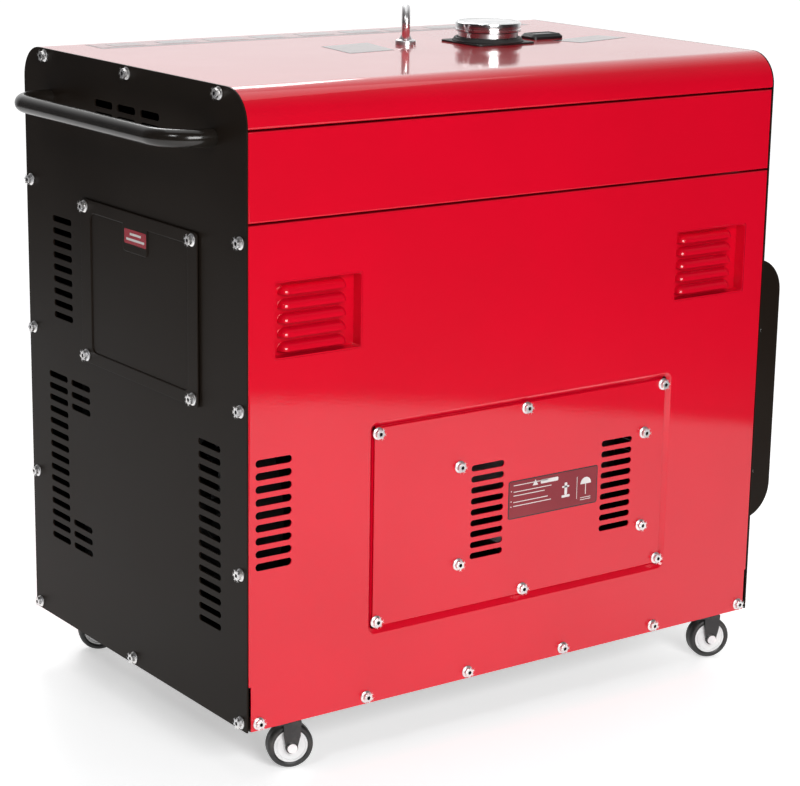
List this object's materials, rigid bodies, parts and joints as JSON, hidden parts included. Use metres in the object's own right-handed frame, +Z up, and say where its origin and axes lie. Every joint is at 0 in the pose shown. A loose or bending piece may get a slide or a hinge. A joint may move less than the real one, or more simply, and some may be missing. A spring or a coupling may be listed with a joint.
{
  "type": "portable generator",
  "caption": "Enclosed diesel generator cabinet on swivel casters, with carry handles, lifting eye, fuel cap, louvres, bolted covers, exhaust hood, service door and control panel.",
  "frame": {"origin": "on the floor, under the middle of the cabinet", "axes": "+X along the cabinet towards the exhaust hood, +Y towards the service side, +Z up"},
  "size_m": [0.886, 0.507, 0.807],
  "materials": {
    "red_paint": "gloss",
    "black_panel": "satin",
    "black_tube": "semi gloss",
    "zinc": "zinc plated",
    "eye_steel": "plated",
    "fork_black": "semi gloss",
    "rim_white": "bright",
    "tyre_black": "semi gloss",
    "tank_black": "semi gloss",
    "neck_steel": "polished",
    "cap_chrome": "brushed top",
    "rubber": "matte",
    "black_plastic": "matte",
    "engine_casting": "cast",
    "blower_black": "satin",
    "fan_iron": "cast",
    "crank_steel": "machined",
    "exhaust_steel": "heat tinted",
    "toggle_white": "gloss",
    "lid_blue": "gloss",
    "earth_brass": "plain"
  },
  "bodies": {
    "cabinet": {"side_panel_front": "red_paint", "side_panel_back": "red_paint", "upper_band_front": "red_paint", "upper_band_back": "red_paint", "lid": "red_paint", "louvre_boxes": "red_paint", "access_cover": "red_paint", "end_panel_left": "black_panel", "end_panel_right": "black_panel", "filter_cover": "black_panel", "exhaust_hood": "black_panel", "base_tray": "black_panel", "lifting_frame": "black_panel", "carry_handles": "black_tube", "end_panel_bolts": "zinc", "side_panel_bolts": "zinc", "caster_plates": "zinc", "eye_bolt": "eye_steel", "fuel_tank": "tank_black", "filler_neck": "neck_steel", "filler_gasket": "rubber", "engine_mounts": "rubber", "fuel_gauge": "black_plastic", "battery": "black_plastic", "control_panel": "black_plastic", "socket_outlets": "black_plastic", "air_filter": "black_plastic", "engine_block": "engine_casting", "cylinder_head": "engine_casting", "alternator_housing": "engine_casting", "blower_housing": "blower_black", "muffler": "exhaust_steel", "tail_pipe": "exhaust_steel", "earth_stud": "earth_brass"},
    "fork_near_left": {"fork_near_left": "fork_black", "axle_near_left": "zinc"},
    "wheel_near_left": {"rim_near_left": "rim_white", "tyre_near_left": "tyre_black"},
    "fork_near_right": {"fork_near_right": "fork_black", "axle_near_right": "zinc"},
    "wheel_near_right": {"rim_near_right": "rim_white", "tyre_near_right": "tyre_black"},
    "fork_far_left": {"fork_far_left": "fork_black", "axle_far_left": "zinc"},
    "wheel_far_left": {"rim_far_left": "rim_white", "tyre_far_left": "tyre_black"},
    "fork_far_right": {"fork_far_right": "fork_black", "axle_far_right": "zinc"},
    "wheel_far_right": {"rim_far_right": "rim_white", "tyre_far_right": "tyre_black"},
    "cap_seal": {"cap_seal": "rubber"},
    "fuel_cap": {"fuel_cap": "cap_chrome"},
    "crankshaft": {"crankshaft_rotor": "crank_steel", "flywheel_fan": "fan_iron"},
    "breaker_toggle": {"breaker_toggle": "toggle_white"},
    "ignition_key": {"ignition_key": "zinc"},
    "outlet_lid_left": {"outlet_lid_left": "lid_blue"},
    "outlet_lid_right": {"outlet_lid_right": "lid_blue"},
    "service_door": {"service_door": "red_paint"},
    "door_latch": {"door_latch": "zinc"}
  },
  "joints": [
    {"name": "swivel_near_left", "type": "hinge", "parent": "cabinet", "child": "fork_near_left", "pos_m": [-0.314, -0.221, 0.05], "axis": [0, 0, 1], "continuous": true},
    {"name": "roll_near_left", "type": "hinge", "parent": "fork_near_left", "child": "wheel_near_left", "pos_m": [-0.30084, -0.22579, 0.026], "axis": [0.342, 0.9397, 0], "continuous": true},
    {"name": "swivel_near_right", "type": "hinge", "parent": "cabinet", "child": "fork_near_right", "pos_m": [0.314, -0.221, 0.05], "axis": [0, 0, 1], "continuous": true},
    {"name": "roll_near_right", "type": "hinge", "parent": "fork_near_right", "child": "wheel_near_right", "pos_m": [0.32716, -0.22579, 0.026], "axis": [0.342, 0.9397, 0], "continuous": true},
    {"name": "swivel_far_left", "type": "hinge", "parent": "cabinet", "child": "fork_far_left", "pos_m": [-0.314, 0.221, 0.05], "axis": [0, 0, 1], "continuous": true},
    {"name": "roll_far_left", "type": "hinge", "parent": "fork_far_left", "child": "wheel_far_left", "pos_m": [-0.30084, 0.21621, 0.026], "axis": [0.342, 0.9397, 0], "continuous": true},
    {"name": "swivel_far_right", "type": "hinge", "parent": "cabinet", "child": "fork_far_right", "pos_m": [0.314, 0.221, 0.05], "axis": [0, 0, 1], "continuous": true},
    {"name": "roll_far_right", "type": "hinge", "parent": "fork_far_right", "child": "wheel_far_right", "pos_m": [0.32716, 0.21621, 0.026], "axis": [0.342, 0.9397, 0], "continuous": true},
    {"name": "cap_lift", "type": "slide", "parent": "cabinet", "child": "cap_seal", "axis": [0, 0, 1], "range_m": [0, 0.0061]},
    {"name": "cap_turn", "type": "hinge", "parent": "cap_seal", "child": "fuel_cap", "pos_m": [0.137, 0.011, 0.779], "axis": [0, 0, 1], "range_deg": [0, 360]},
    {"name": "crank_spin", "type": "hinge", "parent": "cabinet", "child": "crankshaft", "pos_m": [0, 0, 0.251], "axis": [1, 0, 0], "continuous": true},
    {"name": "breaker_switch", "type": "hinge", "parent": "cabinet", "child": "breaker_toggle", "pos_m": [0.095, 0.2235, 0.456], "axis": [1, 0, 0], "range_deg": [0, 50]},
    {"name": "key_turn", "type": "hinge", "parent": "cabinet", "child": "ignition_key", "pos_m": [0.14, 0.2185, 0.456], "axis": [0, 1, 0], "range_deg": [-90, 0]},
    {"name": "lid_left_open", "type": "hinge", "parent": "cabinet", "child": "outlet_lid_left", "pos_m": [0.19, 0.2305, 0.484], "axis": [1, 0, 0], "range_deg": [0, 100], "stiffness_Nm_per_rad": 0.02, "springref_deg": -17.19},
    {"name": "lid_right_open", "type": "hinge", "parent": "cabinet", "child": "outlet_lid_right", "pos_m": [0.25, 0.2305, 0.484], "axis": [1, 0, 0], "range_deg": [0, 100], "stiffness_Nm_per_rad": 0.02, "springref_deg": -17.19},
    {"name": "door_swing", "type": "hinge", "parent": "cabinet", "child": "service_door", "pos_m": [-0.291, 0.248, 0.276], "axis": [0, 0, 1], "range_deg": [0, 110]},
    {"name": "latch_turn", "type": "hinge", "parent": "service_door", "child": "door_latch", "pos_m": [-0.072, 0.248, 0.276], "axis": [0, 1, 0], "range_deg": [0, 90]}
  ],
  "couplings": [
    {"joint": "cap_lift", "follows": "cap_turn", "m_per_rad": 0.00095493}
  ]
}
